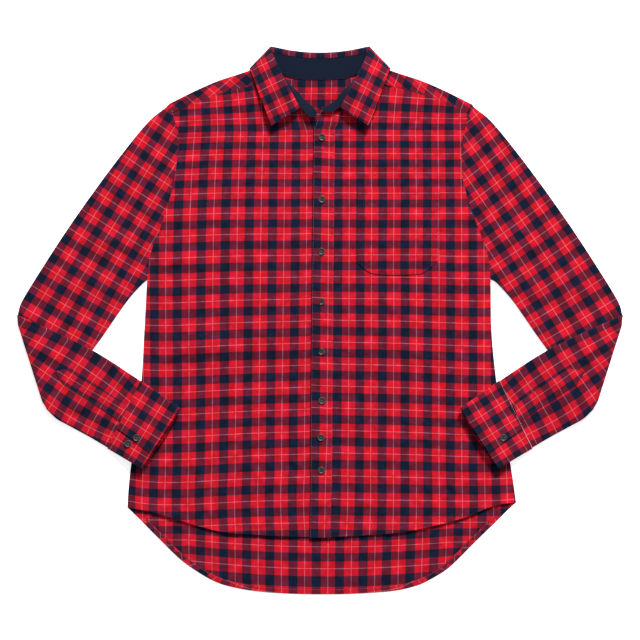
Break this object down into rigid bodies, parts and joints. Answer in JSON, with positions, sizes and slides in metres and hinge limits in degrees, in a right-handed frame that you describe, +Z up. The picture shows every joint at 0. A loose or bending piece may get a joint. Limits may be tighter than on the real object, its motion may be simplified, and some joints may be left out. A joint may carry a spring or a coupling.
{
  "type": "flannel shirt",
  "caption": "Long-sleeved red and navy check flannel shirt with a collar, a chest pocket and a button front, laid flat with its forearms folded over it.",
  "frame": {"origin": "centre of the bounding box's base, on the surface that the shirt lies on", "axes": "+Z up off the surface, +Y towards the collar, +X towards the wearer's left"},
  "size_m": [0.9728, 0.8771, 0.0197],
  "materials": {
    "check_flannel": "brushed cotton flannel twill in a red and navy check with a fine white line",
    "navy_twill": "plain navy cotton twill that faces the inside of the collar",
    "button_plastic": "dark grey-brown cast resin with a polished rim"
  },
  "bodies": {
    "root": {"back": "check_flannel", "yoke": "check_flannel", "front_right": "check_flannel", "front_left": "check_flannel", "placket_band": "check_flannel", "chest_pocket": "check_flannel", "hem_back": "check_flannel", "collar_leaf": "check_flannel", "collar_stand": "check_flannel", "sleeve_right": "check_flannel", "sleeve_left": "check_flannel", "gauntlet_right": "check_flannel", "gauntlet_left": "check_flannel", "cuff_right": "check_flannel", "cuff_left": "check_flannel", "collar_stand_lining": "navy_twill", "front_button_1": "button_plastic", "front_button_2": "button_plastic", "front_button_3": "button_plastic", "front_button_4": "button_plastic", "front_button_5": "button_plastic", "front_button_6": "button_plastic", "front_button_7": "button_plastic", "front_button_8": "button_plastic", "cuff_button_right": "button_plastic", "cuff_button_left": "button_plastic", "cuff_spare_button_right": "button_plastic"}
  },
  "joints": []
}
